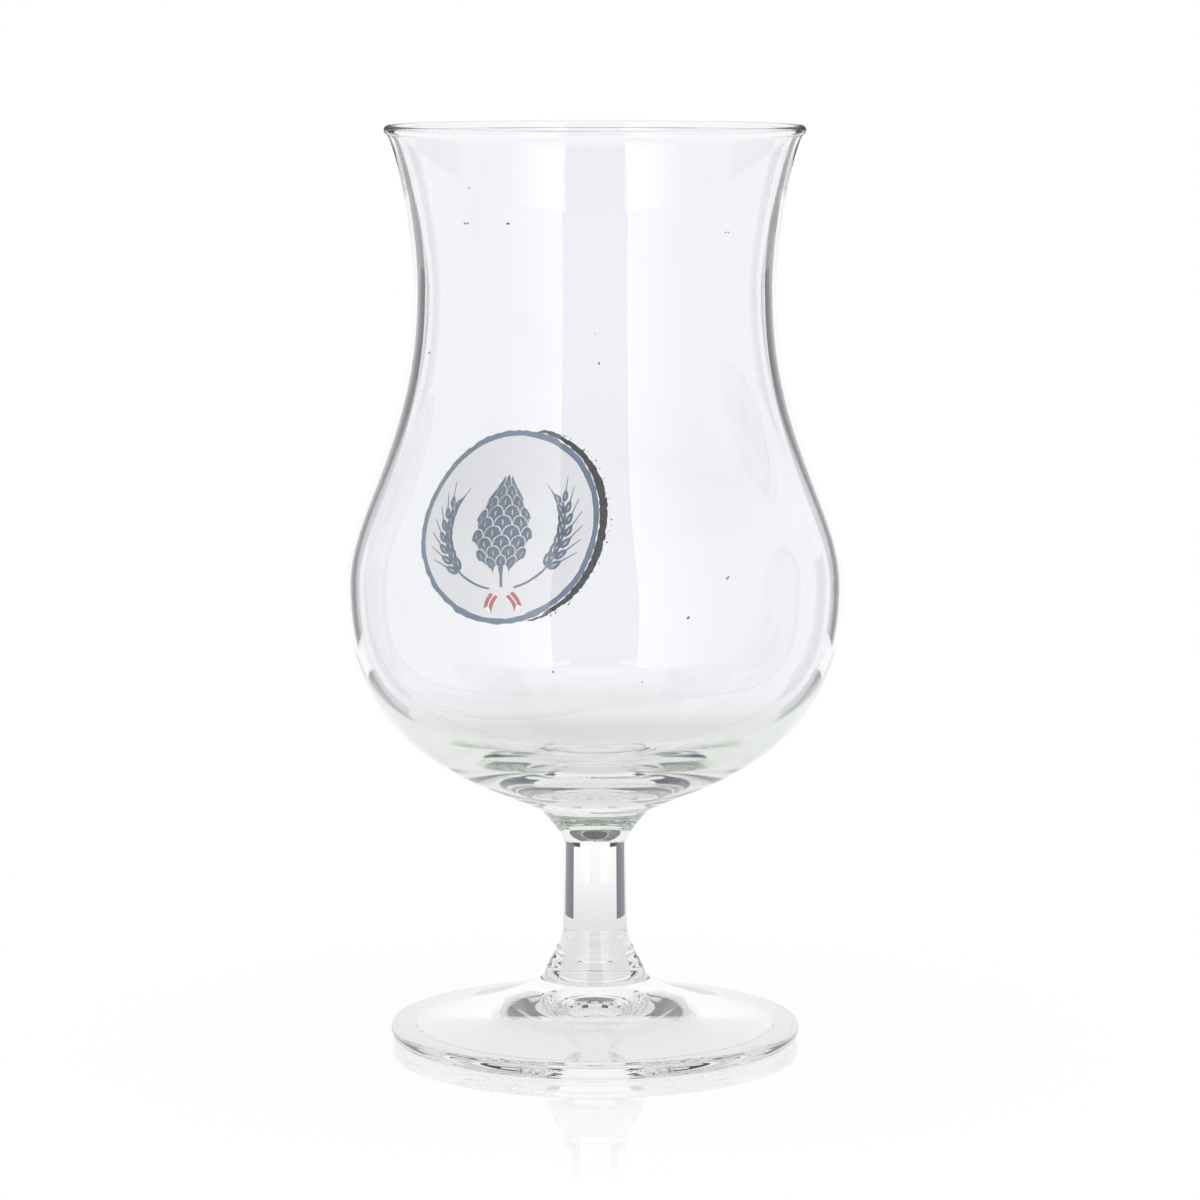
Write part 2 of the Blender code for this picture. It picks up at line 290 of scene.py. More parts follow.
def buildStudio():
    s = studioSet
    world = bpy.data.worlds.new("whiteStudio")
    world.use_nodes = True
    fill(world.node_tree, world.node_tree.nodes["Background"], {"Color": (*white, 1), "Strength": 1})
    scene.world = world
    disc("table", s["tableRadius"], 0.0, s["tableSides"], tablePaint())

    for kind, tint in (("through", s["flagTint"]), ("mirror", white)):
        for i, (start, stop, *bright) in enumerate(s[kind + "Cards"]):
            paint = cardPaint("%sPaint%d" % (kind, i), bright, tint, (start, stop))
            for sign, word in ((-1, "L"), (1, "R")):
                curvedCard("%sCard%d%s" % (kind, i, word), sign * start, sign * stop, s["ringRadius"],
                           s[kind + "Reach"], paint, glossy=kind == "mirror", transmission=kind == "through")

    paint = cardPaint("rimPaint", s["rimGrey"], s["flagTint"])
    for i, (start, stop) in enumerate(s["rimFlags"]):
        curvedCard("rimFlag%d" % i, start, stop, s["rimFlagRadius"], s["rimFlagReach"], paint, glossy=True)

    paint = cardPaint("roofPaint", s["roofGrey"])
    radius = s["ringRadius"] * s["roofWiden"]
    reach = (s["ringRadius"] * math.tan(s["roofFrom"]), s["roofHigh"])
    for i in range(4):
        curvedCard("roofSide%d" % i, 90 * i, 90 * (i + 1), radius, reach, paint, transmission=True)
    seenBy(disc("roofFlag", radius, s["roofHigh"], s["roofSides"], paint), transmission=True)

    paint = cardPaint("lowPaint", s["lowGrey"], s["lowTint"], oneBody=True)
    for i, middle in enumerate(s["lowCards"]):
        curvedCard("lowCard%d" % i, middle - s["lowHalf"], middle + s["lowHalf"], s["lowRadius"],
                   s["lowReach"], paint, transmission=True)


buildStudio()
print("studio built")


# clear glass: bowl, stem and foot are one melt, so they are one turned skin

footBox, stemBox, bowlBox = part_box("foot"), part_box("stem"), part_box("bowl")

glassShape = {
    "footRadius": footBox[1].x,
    "footHeight": footBox[1].z,
    "edgeThickness": 3.0 * mm,
    "edgeRound": 1.0 * mm,
    "edgeUndercut": 1.6 * mm,
    "restWidth": 3.5 * mm,
    "restEase": 0.6 * mm,  # an ease is the reach of a small round at a corner
    "hollowDepth": 5.6 * mm,
    "hollowFlat": 0.36,
    "hollowSlope": math.radians(8),
    "hollowPull": 0.40,  # a pull is the reach of a curve's handle, as a share of the curve's size
    "domeRootSlope": math.radians(30),
    "domeRootPull": 0.12,
    "domeEdgeSlope": math.radians(5),
    "domeEdgePull": 0.56,
    "domeEase": 0.25 * mm,
    "collarRadius": 8.85 * mm,
    "collarTopRadius": 8.2 * mm,
    "collarTop": stemBox[0].z + 1.7 * mm,
    "collarEase": 0.35 * mm,
    "flareLength": 7.0 * mm,
    "toolRing": 0.045 * mm,  # rings left by the shaping tool
    "toolPitch": 1.7 * mm,
    "flareAngle": math.radians(25),
    "shankFootRadius": 5.5 * mm,
    "shankTopRadius": 5.35 * mm,
    "creaseEase": 0.45 * mm,
    "trumpetLength": 5.1 * mm,
    "trumpetRootAngle": math.radians(25),
    "trumpetLipAngle": math.radians(48),
    "stemPull": 0.34,
    "seamEase": 0.5 * mm,  # where the stem meets the foot and the bowl
    "weldRadius": 9.5 * mm,
    "baseSlope": math.radians(28.5),
    "bulgeAboveWeld": 38.9 * mm,
    "shoulderLength": 49.6 * mm,
    "bulgeRadius": bowlBox[1].x,
    "waistRadius": 30.8 * mm,
    "rimRadius": 35.7 * mm,
    "rimFlare": math.radians(27),
    "rimWall": 1.1 * mm,
    "beadRadius": 0.78 * mm,  # the rim is melted to a round bead, a little thicker than the wall
    "beadEase": 0.22 * mm,
    "waistWall": 2.0 * mm,
    "bulgeWall": 1.4 * mm,
    "baseThickness": 7.5 * mm,
    "floorPull": 0.60,
    "rimPull": 0.20,
    "waistPullUp": 0.25,
    "waistPullDown": 0.49,
    "bulgePullUp": 0.26,
    "bulgePullDown": 0.77,
    "weldPull": 0.28,
    "innerBellyPull": 0.82,
    "segments": 176,
    "weld": 0.002 * mm,
}

profileSteps = {
    "hollow": 40, "rest": 4, "heel": 12, "edge": 10, "dome": 44,
    "collar": 6, "flare": 48, "shank": 20, "trumpet": 20,
    "belly": 60, "shoulder": 50, "neck": 32, "bead": 28, "innerBelly": 64,
    "ease": 6,
    "wall": 240,  # for laying the print
}


def bezier(ends, steps):
    points = []
    for i in range(steps + 1):
        t = i / steps
        weights = ((1 - t) ** 3, 3 * t * (1 - t) ** 2, 3 * t * t * (1 - t), t ** 3)
        points.append(tuple(sum(w * p[k] for w, p in zip(weights, ends)) for k in (0, 1)))
    return points


def arc(centre, radiusR, radiusZ, start, stop, steps):  # angles run from +R towards +Z
    angles = [start + (stop - start) * i / steps for i in range(steps + 1)]
    return [(centre[0] + radiusR * math.cos(a), centre[1] + radiusZ * math.sin(a)) for a in angles]


def pulled(point, length, angle):
    return point[0] + length * math.cos(angle), point[1] + length * math.sin(angle)


def cutBack(points, reach):  # shortens a line of points at its end by a length
    points = list(points)
    while True:
        (r0, z0), (r1, z1) = points[-2:]
        length = math.hypot(r1 - r0, z1 - z0)
        if length > reach:
            share = 1 - reach / length
            points[-1] = (r0 + (r1 - r0) * share, z0 + (z1 - z0) * share)
            return points
        reach -= length
        points.pop()


def eased(first, second, reach):  # joins two lines at their shared corner with a small round
    corner = first[-1]
    before = cutBack(first, reach)
    after = cutBack(second[::-1], reach)[::-1]
    a, b = before[-1], after[0]
    bend = []
    for i in range(1, profileSteps["ease"]):
        t = i / profileSteps["ease"]
        bend.append(tuple((1 - t) ** 2 * a[k] + 2 * t * (1 - t) * corner[k] + t * t * b[k] for k in (0, 1)))
    return before + bend + after


def line(a, b, steps):
    return [(a[0] + (b[0] - a[0]) * i / steps, a[1] + (b[1] - a[1]) * i / steps) for i in range(steps + 1)]


bowlFootZ, rimZ = bowlBox[0].z, bowlBox[1].z
bulgeZ = bowlFootZ + glassShape["bulgeAboveWeld"]
waistZ = bulgeZ + glassShape["shoulderLength"]
bead = (glassShape["rimRadius"] - glassShape["beadRadius"], rimZ - glassShape["beadRadius"])


def underBead(side):  # where the outer, 1, or inner, -1, face of the wall meets the bead
    s = glassShape
    across, flare = side * s["rimWall"] / 2, s["rimFlare"]
    along = -math.sqrt(s["beadRadius"] ** 2 - across ** 2)
    return (bead[0] + across * math.cos(flare) + along * math.sin(flare),
            bead[1] - across * math.sin(flare) + along * math.cos(flare))


def neckCurve(rim, waistRadius):
    s = glassShape
    length = rimZ - waistZ
    return (rim, pulled(rim, s["rimPull"] * length, -quarter - s["rimFlare"]),
            (waistRadius, waistZ + s["waistPullUp"] * length), (waistRadius, waistZ))


def shoulderCurve(waistRadius, bulgeRadius):
    s = glassShape
    length = s["shoulderLength"]
    return ((waistRadius, waistZ), (waistRadius, waistZ - s["waistPullDown"] * length),
            (bulgeRadius, bulgeZ + s["bulgePullUp"] * length), (bulgeRadius, bulgeZ))


def bellyCurve():
    s = glassShape
    depth = s["bulgeAboveWeld"]
    weld = (s["weldRadius"], bowlFootZ)
    return ((s["bulgeRadius"], bulgeZ), (s["bulgeRadius"], bulgeZ - s["bulgePullDown"] * depth),
            pulled(weld, s["weldPull"] * depth, s["baseSlope"]), weld)


def innerBellyCurve():
    s = glassShape
    inner = s["bulgeRadius"] - s["bulgeWall"]
    floorZ = bowlFootZ + s["baseThickness"]
    return ((inner, bulgeZ), (inner, bulgeZ - s["innerBellyPull"] * (bulgeZ - floorZ)),
            (s["floorPull"] * inner, floorZ), (0.0, floorZ))


def footLines():  # from the middle of the underside, round the edge, up the dome
    s, steps = glassShape, profileSteps
    restRadius = s["footRadius"] - s["edgeUndercut"]
    hollowRadius = restRadius - s["restWidth"]
    edgeRadius = s["footRadius"] - s["edgeRound"]
    widestZ = s["edgeThickness"] - s["edgeRound"]
    ring = (hollowRadius, 0.0)
    hollow = bezier(((0.0, s["hollowDepth"]), (s["hollowFlat"] * hollowRadius, s["hollowDepth"]),
                     pulled(ring, s["hollowPull"] * hollowRadius, math.pi - s["hollowSlope"]), ring),
                    steps["hollow"])
    rest = line(ring, (restRadius, 0.0), steps["rest"])
    heel = arc((restRadius, widestZ), s["edgeUndercut"], widestZ, -quarter, 0, steps["heel"])
    edge = arc((edgeRadius, widestZ), s["edgeRound"], s["edgeRound"], 0, quarter, steps["edge"])
    run = edgeRadius - s["collarRadius"]
    root = (s["collarRadius"], s["footHeight"])
    brink = (edgeRadius, s["edgeThickness"])
    dome = bezier((root, pulled(root, s["domeRootPull"] * run, -s["domeRootSlope"]),
                   pulled(brink, s["domeEdgePull"] * run, math.pi - s["domeEdgeSlope"]), brink),
                  steps["dome"])[::-1]
    skin = eased(hollow, rest, s["restEase"])
    return eased(skin + heel[1:] + edge[1:], dome, s["domeEase"])


def stemLines():  # from the collar up to the weld under the bowl
    s, steps = glassShape, profileSteps
    flareFoot = (s["collarTopRadius"], s["collarTop"])
    collar = line((s["collarRadius"], s["footHeight"]), flareFoot, steps["collar"])
    shankFoot = (s["shankFootRadius"], s["collarTop"] + s["flareLength"])
    crease = (s["shankTopRadius"], stemBox[1].z - s["trumpetLength"])
    lip = (s["weldRadius"], bowlFootZ)
    pull = s["stemPull"] * s["flareLength"]
    flare = []
    for r, z in bezier((collar[-1], pulled(collar[-1], pull, quarter + s["flareAngle"]),
                        pulled(shankFoot, pull, -quarter), shankFoot), steps["flare"]):
        share = (z - s["collarTop"]) / s["flareLength"]
        height = s["toolRing"] * math.sin(math.pi * share)
        flare.append((r + height * math.sin(math.tau * z / s["toolPitch"]), z))
    shank = line(shankFoot, crease, steps["shank"])
    pull = s["stemPull"] * s["trumpetLength"]
    trumpet = bezier((crease, pulled(crease, pull, quarter - s["trumpetRootAngle"]),
                      pulled(lip, pull, -quarter - s["trumpetLipAngle"]), lip), steps["trumpet"])
    return eased(eased(collar, flare, s["collarEase"]) + shank[1:], trumpet, s["creaseEase"])


def glassProfile():
    s, steps = glassShape, profileSteps
    waistInner = s["waistRadius"] - s["waistWall"]
    bulgeInner = s["bulgeRadius"] - s["bulgeWall"]
    belly = bezier(bellyCurve(), steps["belly"])[::-1]
    shoulder = bezier(shoulderCurve(s["waistRadius"], s["bulgeRadius"]), steps["shoulder"])[::-1]
    neck = bezier(neckCurve(underBead(1), s["waistRadius"]), steps["neck"])[::-1]
    ends = [math.atan2(z - bead[1], r - bead[0]) for r, z in (underBead(1), underBead(-1))]
    rim = arc(bead, s["beadRadius"], s["beadRadius"], ends[0], ends[1] + math.tau, steps["bead"])
    innerNeck = bezier(neckCurve(underBead(-1), waistInner), steps["neck"])
    lip = eased(eased(neck, rim, s["beadEase"]), innerNeck, s["beadEase"])
    innerShoulder = bezier(shoulderCurve(waistInner, bulgeInner), steps["shoulder"])
    innerBelly = bezier(innerBellyCurve(), steps["innerBelly"])
    skin = eased(eased(footLines(), stemLines(), s["seamEase"]), belly, s["seamEase"])
    return skin + shoulder[1:] + lip[1:] + innerShoulder[1:] + innerBelly[1:]


def turnedTree():  # turns a line of points in the XZ plane about Z
    tree, given = newGroup(
        "turnedSkin", "Geometry",
        {"Profile": "Geometry", "Segments": "Int", "Weld": "Float", "Material": "Material"},
        {"Skin": "Geometry"})
    size = addNode(tree, "GeometryNodeAttributeDomainSize", {"Geometry": given["Profile"]}, component="MESH")
    rows = size.outputs["Point Count"]
    columns = mathNode(tree, "ADD", given["Segments"], 1.0)
    grid = addNode(tree, "GeometryNodeMeshGrid", {"Vertices X": columns, "Vertices Y": rows})
    index = addNode(tree, "GeometryNodeInputIndex").outputs[0]
    column = mathNode(tree, "FLOOR", mathNode(tree, "DIVIDE", mathNode(tree, "ADD", index, 0.5), rows))
    row = mathNode(tree, "SUBTRACT", index, product(tree, column, rows))
    position = addNode(tree, "GeometryNodeInputPosition").outputs[0]
    sample = addNode(tree, "GeometryNodeSampleIndex",
                     {"Geometry": given["Profile"], "Value": position, "Index": row},
                     data_type="FLOAT_VECTOR", domain="POINT")
    split = splitXYZ(tree, sample.outputs["Value"])
    turn = product(tree, mathNode(tree, "DIVIDE", column, given["Segments"]), math.tau)
    place = joinXYZ(tree, X=product(tree, split["X"], mathNode(tree, "COSINE", turn)),
                    Y=product(tree, split["X"], mathNode(tree, "SINE", turn)), Z=split["Z"])
    move = addNode(tree, "GeometryNodeSetPosition", {"Geometry": grid.outputs["Mesh"], "Position": place})
    merge = addNode(tree, "GeometryNodeMergeByDistance",
                    {"Geometry": move.outputs[0], "Distance": given["Weld"]})
    smooth = addNode(tree, "GeometryNodeSetShadeSmooth", {"Geometry": merge.outputs[0]})
    return closeGroup(tree, smooth.outputs[0], given["Material"])


def grown(name, mesh, tree, settings, material):  # what a tree makes of a mesh, as a plain mesh
    settings = {**settings, "Material": material}
    seed = addObject(name + "Seed", mesh)
    modifier = seed.modifiers.new("grow", "NODES")
    modifier.node_group = tree
    for item in tree.interface.items_tree:
        if item.name in settings:
            modifier[item.identifier] = settings[item.name]
    bpy.context.view_layer.update()
    result = bpy.data.meshes.new_from_object(seed.evaluated_get(bpy.context.evaluated_depsgraph_get()))
    result.name = name
    bpy.data.objects.remove(seed)
    result.materials.clear()
    result.materials.append(material)
    return result


glassFinish = {
    "bowlTint": (0.950, 0.954, 0.974),
    "tintFrom": 44 * mm,
    "tintTo": 62 * mm,
    "ior": 1.50,
    "roughness": 0.0,
    "absorbColour": (0.75, 0.81, 0.72),
    "absorbDensity": 7.0,
    "speckScale": 140,  # bits of dust on the front of the bowl
    "speckSize": 0.030,
    "speckShare": 0.13,
    "speckTop": 150 * mm,
    "speckFront": (-10 * mm, -14 * mm),  # they come in between these, along Y
    "speckColour": (0.04, 0.04, 0.05),
    "milkTop": (52.5 * mm, 56 * mm),  # a milky film on the thick floor of the bowl
    "milkFoot": (44.5 * mm, 46 * mm),
    "milkTint": (0.962, 0.958, 0.946),
    "milkRoughness": 0.04,
    "smearScale": 34,  # wiped patches
    "smearDetail": 4,
    "smearTwist": 0.6,
    "smearEdge": (0.58, 0.72),
    "smearTone": 0.972,
    "smearRoughness": 0.02,
    "waveScale": 55,  # uneven surface of blown glass
    "waveDetail": 1,
    "waveHeight": 0.010 * mm,
}


def clearGlass():
    s = glassFinish
    material, tree = newMaterial("clearGlass")
    place = objectPlace(tree)
    split = splitXYZ(tree, place)
    inBowl = remap(tree, split["Z"], s["tintFrom"], s["tintTo"], kind="SMOOTHSTEP")
    tint = blendColour(tree, inBowl, white, s["bowlTint"])

    smears = addNode(tree, "ShaderNodeTexNoise", {"Vector": place, "Scale": s["smearScale"],
                                                  "Detail": s["smearDetail"], "Distortion": s["smearTwist"]})
    wiped = remap(tree, smears.outputs["Fac"], *s["smearEdge"], kind="SMOOTHSTEP")
    tint = blendColour(tree, wiped, tint, (s["smearTone"],) * 3, "MULTIPLY")
    milk = product(tree, remap(tree, split["Z"], *s["milkTop"], 1.0, 0.0, "SMOOTHSTEP"),
                   remap(tree, split["Z"], *s["milkFoot"], kind="SMOOTHSTEP"))
    tint = blendColour(tree, milk, tint, s["milkTint"], "MULTIPLY")
    rough = remap(tree, wiped, 0.0, 1.0, s["roughness"], s["smearRoughness"])
    rough = mathNode(tree, "MAXIMUM", rough, product(tree, milk, s["milkRoughness"]))

    flat = joinXYZ(tree, X=split["X"], Y=split["Z"])
    specks = addNode(tree, "ShaderNodeTexVoronoi", {"Vector": flat, "Scale": s["speckScale"]},
                     feature="F1", voronoi_dimensions="2D")
    pick = splitXYZ(tree, specks.outputs["Color"])
    size = product(tree, pick["Y"], s["speckSize"])
    normal = addNode(tree, "ShaderNodeNewGeometry").outputs["True Normal"]
    facing = addNode(tree, "ShaderNodeVectorMath", {0: normal, 1: place}, operation="DOT_PRODUCT")
    dust = product(tree, mathNode(tree, "LESS_THAN", specks.outputs["Distance"], size),
                   mathNode(tree, "LESS_THAN", pick["X"], s["speckShare"]),
                   remap(tree, split["Y"], *s["speckFront"]),
                   mathNode(tree, "LESS_THAN", split["Z"], s["speckTop"]),
                   mathNode(tree, "GREATER_THAN", facing.outputs["Value"], 0.0), inBowl)

    waves = addNode(tree, "ShaderNodeTexNoise",
                    {"Vector": place, "Scale": s["waveScale"], "Detail": s["waveDetail"]})
    bump = addNode(tree, "ShaderNodeBump", {"Distance": s["waveHeight"], "Height": waves.outputs["Fac"]})
    absorb = addNode(tree, "ShaderNodeVolumeAbsorption",
                     {"Color": (*s["absorbColour"], 1), "Density": s["absorbDensity"]})
    fill(tree, tree.nodes["Principled BSDF"], {
        "Base Color": blendColour(tree, dust, tint, s["speckColour"]),
        "Roughness": rough,
        "Normal": bump.outputs[0],
        "IOR": s["ior"],
        "Transmission Weight": 1,
    })
    fill(tree, tree.nodes["Material Output"], {"Volume": absorb.outputs[0]})
    return material


def chain(count):  # edges along a line of points
    return [(i, i + 1) for i in range(count - 1)]


def buildGlass():
    profile = glassProfile()
    mesh = addMesh("glassProfile", [(r, 0.0, z) for r, z in profile], chain(len(profile)))
    settings = {"Segments": glassShape["segments"], "Weld": glassShape["weld"]}
    glass = addObject("glass", grown("glass", mesh, turnedTree(), settings, clearGlass()))
    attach(glass, "root")
    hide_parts("bowl", "stem", "foot")
    print("glass turned:", len(profile), "profile points,", len(glass.data.polygons), "faces")


buildGlass()


# print on the back of the bowl: thin ink films in flat coordinates (u along the wall, v up it, lift off it)

printSet = {
    "azimuth": math.radians(-24),  # from +Y, the far side as the camera sees it
    "aboveBulge": 6.1 * mm,
    "seamGap": 0.3 * mm,  # between the ink and the glass, as in the solids
    "groundFilm": (0.05 * mm, 0.15 * mm),  # lifts above that gap
    "motifFilm": (0.03 * mm, 0.17 * mm),
    "bend": 1.2 * mm,  # spacing of points inside a film, so that it follows the wall
    "bendShift": 0.25,  # of every other row of those points
    "bendRoom": 0.45,  # between those points and the outline, as a share of the spacing
    "sameSpot": 1e-8,
    "wobble": 0.07 * mm,  # hand-cut edges
    "wobbleLength": 0.9 * mm,
    "seed": 7,
}

noise.seed_set(printSet["seed"])  # without a seed the noise differs from run to run

wallLine = bezier(bellyCurve(), profileSteps["wall"])[::-1]
wallLine += bezier(shoulderCurve(glassShape["waistRadius"], glassShape["bulgeRadius"]),
                   profileSteps["wall"])[::-1][1:]
wallHeights = [z for r, z in wallLine]


def wallAt(z):  # outer radius at a height, and how fast it grows with height
    i = min(max(bisect.bisect(wallHeights, z), 1), len(wallLine) - 1)
    (r0, z0), (r1, z1) = wallLine[i - 1:i + 1]
    slope = (r1 - r0) / (z1 - z0)
    return r0 + (z - z0) * slope, slope


def onWall(u, v, lift):
    z = bulgeZ + printSet["aboveBulge"] + v
    radius, slope = wallAt(z)
    angle = printSet["azimuth"] + u / radius
    length = math.hypot(1, slope)
    radius += lift / length
    return radius * math.sin(angle), radius * math.cos(angle), z - lift * slope / length


def onCircle(radius, angle, shift=0.0):  # the angle runs from the bottom towards the right
    return shift + radius * math.sin(angle), -radius * math.cos(angle)


def ragged(loop, size, length):  # moves the points of an outline by smooth noise
    moved = []
    for u, v in loop:
        push = noise.noise_vector(Vector((u / length, v / length, printSet["seed"])))
        moved.append((u + size * push.x, v + size * push.y))
    return moved


def mirrored(right):  # closes an outline whose right side starts and ends on the middle line
    return right + [(-u, v) for u, v in right[-2:0:-1]]


def lens(half, foot, length, steps=6):  # a slim pointed outline along v
    right = [(half * math.sin(math.pi * i / steps), foot + length * i / steps) for i in range(steps + 1)]
    return mirrored(right)


def insideLoops(u, v, loops):
    inside = False
    for loop in loops:
        for (u0, v0), (u1, v1) in zip(loop, loop[1:] + loop[:1]):
            if (v0 > v) != (v1 > v) and u < u0 + (v - v0) * (u1 - u0) / (v1 - v0):
                inside = not inside
    return inside


def flatFilm(loops, lifts, bend=printSet["bend"]):  # a closed film over outlines and holes, that can bend
    points = [Vector(p) for loop in loops for p in loop]
    edges = []
    for loop in loops:
        start = len(edges)
        edges += [(start + i, start + (i + 1) % len(loop)) for i in range(len(loop))]
    outline = list(points)
    lowU, highU = min(p.x for p in points), max(p.x for p in points)
    lowV, highV = min(p.y for p in points), max(p.y for p in points)
    room = printSet["bendRoom"] * bend
    for i in range(int((highU - lowU) / bend) + 1):
        for j in range(int((highV - lowV) / bend) + 1):
            shift = 0.5 + printSet["bendShift"] * (j % 2)
            spot = Vector((lowU + (i + shift) * bend, lowV + (j + 0.5) * bend))
            if insideLoops(spot.x, spot.y, loops) and min((spot - p).length for p in outline) > room:
                points.append(spot)
    flat, _, faces, *_ = delaunay_2d_cdt(points, edges, [], 0, printSet["sameSpot"])
    middles = [(sum(flat[i].x for i in f) / 3, sum(flat[i].y for i in f) / 3) for f in faces]
    faces = [tuple(f) for f, middle in zip(faces, middles) if insideLoops(*middle, loops)]
    count = len(flat)
    verts = [(p.x, p.y, lift) for lift in lifts[::-1] for p in flat]
    rims = {(f[k], f[(k + 1) % 3]) for f in faces for k in range(3)}
    sides = [(a, b, b + count, a + count) for a, b in rims if (b, a) not in rims]
    return verts, faces + [tuple(i + count for i in f[::-1]) for f in faces] + sides


def stampMesh(name, loops, bend):
    verts, faces = flatFilm(loops, printSet["motifFilm"], bend)
    return addMesh(name, verts, faces=faces)


def takeFlat(mesh):  # the plain verts and faces of a mesh
    return [tuple(v.co) for v in mesh.vertices], [tuple(p.vertices) for p in mesh.polygons]


def inkPiece(name, node, films, paint):  # lays flat films on the wall as one piece
    s = printSet
    bm = bmesh.new()
    for verts, faces in films:
        made = []
        for u, v, lift in verts:
            push = noise.noise_vector(Vector((u, v, 0.0)) / s["wobbleLength"])
            u, v = u + s["wobble"] * push.x, v + s["wobble"] * push.y
            made.append(bm.verts.new(onWall(u, v, s["seamGap"] + lift)))
        for face in faces:
            bm.faces.new([made[i] for i in face])
    loose = [v for v in bm.verts if not v.link_faces]
    bmesh.ops.delete(bm, geom=loose, context="VERTS")
    bmesh.ops.recalc_face_normals(bm, faces=bm.faces)
    mesh = bpy.data.meshes.new(name)
    bm.to_mesh(mesh)
    bm.free()
    mesh.materials.append(paint)
    piece = addObject(name, mesh)
    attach(piece, "root")
    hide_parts(node)
    print(name, "laid on the wall:", len(mesh.polygons), "faces")


# inks: frosted films that let the light behind them through

inkFinish = {
    "patchDetail": 5,
    "patchRange": (0.3, 0.7),
    "pinholeScale": 1100,
    "pinholeAbove": 0.72,  # so that few cells have one
    "pinholeSize": 0.10,
    "meshPitch": 0.35 * mm,  # weave of the printing screen
    "weaveShare": 0.35,
    "thinLift": 0.01,
    "roughness": (0.28, 0.44),  # full and thin ink
    "ior": 1.45,
    "bumpStrength": 0.5,
    "bumpHeight": 0.012 * mm,
}

inkLooks = {
    "ground": {"colour": (0.95, 0.95, 0.945), "clear": 0.96, "worn": (0.98, 0.98, 0.97),
               "patchScale": 90, "mottle": 0.045},
    "blue": {"colour": (0.29, 0.44, 0.61), "clear": 0.50, "worn": (0.80, 0.83, 0.85),
             "patchScale": 260, "mottle": 0.16},
    "red": {"colour": (0.95, 0.14, 0.12), "clear": 0.72, "worn": (0.98, 0.80, 0.76),
            "patchScale": 320, "mottle": 0.16},
    "black": {"colour": (0.008, 0.008, 0.012), "clear": 0.0, "worn": (0.55, 0.57, 0.60),
              "patchScale": 420, "mottle": 0.16, "specular": 0.1},
}


def printGrainGroup():  # uneven ink, pinholes and the weave of the screen, for every ink
    s = inkFinish
    tree, given = newGroup("printGrain", "Shader",
                           {"Patch Scale": "Float", "Pinholes": "Float", "Weave Pitch": "Float"},
                           {"Mottle": "Float", "Worn": "Float", "Height": "Float"})
    place = objectPlace(tree)
    patches = addNode(tree, "ShaderNodeTexNoise",
                      {"Vector": place, "Scale": given["Patch Scale"], "Detail": s["patchDetail"]})
    patch = patches.outputs["Fac"]
    holes = addNode(tree, "ShaderNodeTexVoronoi", {"Vector": place, "Scale": s["pinholeScale"]},
                    feature="F1")
    few = mathNode(tree, "GREATER_THAN", splitXYZ(tree, holes.outputs["Color"])["X"], s["pinholeAbove"])
    small = mathNode(tree, "LESS_THAN", holes.outputs["Distance"], given["Pinholes"])
    split = splitXYZ(tree, place)
    waves = []
    for way in ("ADD", "SUBTRACT"):  # both diagonals
        along = mathNode(tree, "DIVIDE", mathNode(tree, way, split["X"], split["Z"]), given["Weave Pitch"])
        waves.append(mathNode(tree, "SINE", product(tree, along, math.tau)))
    weave = remap(tree, product(tree, *waves), -1.0, 1.0)
    addNode(tree, "NodeGroupOutput", {
        "Mottle": remap(tree, patch, *s["patchRange"]),
        "Worn": product(tree, few, small),
        "Height": mathNode(tree, "ADD", product(tree, weave, s["weaveShare"]), patch),
    })
    return tree


printGrain = printGrainGroup()


def inkPaint(name, colour, clear, worn, patchScale, mottle, specular=0.5):
    s = inkFinish
    material, tree = newMaterial(name)
    inputs = {"Patch Scale": patchScale, "Pinholes": s["pinholeSize"], "Weave Pitch": s["meshPitch"]}
    grain = addNode(tree, "ShaderNodeGroup", inputs, node_tree=printGrain).outputs
    thin = tuple(min(1.0, c * (1 + mottle) + s["thinLift"]) for c in colour)
    full = tuple(c * (1 - mottle) for c in colour)
    tone = blendColour(tree, grain["Mottle"], full, thin)
    bump = addNode(tree, "ShaderNodeBump", {"Strength": s["bumpStrength"], "Distance": s["bumpHeight"],
                                            "Height": grain["Height"]})
    fill(tree, tree.nodes["Principled BSDF"], {
        "Base Color": blendColour(tree, grain["Worn"], tone, worn),
        "Roughness": remap(tree, grain["Mottle"], 0.0, 1.0, *s["roughness"]),
        "Normal": bump.outputs[0],
        "IOR": s["ior"],
        "Transmission Weight": clear,
        "Specular IOR Level": specular,
    })
    return material


inks = {name: inkPaint(name + "Ink", **look) for name, look in inkLooks.items()}


# hop cone: scales on a brick lattice, then bent to the cone

hopSet = {
    "foot": -7.2 * mm,
    "top": 11.2 * mm,
    "halfWidth": 6.0 * mm,
    "rows": 9,
    "lastRow": 0.6,  # what the last row adds to the height of the lattice
    "columns": 4,
    "overhang": 0.4,  # scales nearer than this to the side are left out
    "gap": 0.07,  # pale line between scales, as a share of a scale
    "gapAcross": 1.6,  # times that at the sides
    "scaleRound": 0.8,  # powers that shape a scale's upper edge
    "scalePoint": 1.6,
    "scaleSteps": 8,
    "scaleBend": 0.34,
    "vein": (0.035, 0.62, -0.75),  # half width, foot and length in a scale
    "fullness": 0.80,
    "tipWidth": 0.16,
    "footStart": 0.06,
    "bulge": 0.3,  # scales look narrower towards the sides of the cone
    "droop": 0.55,  # and fall away there
    "stalkWidth": 0.45 * mm,
    "stalk": ((1.0, -11.4 * mm), (1.2, -9.0 * mm), (2.4, -7.6 * mm)),  # widths and heights
}


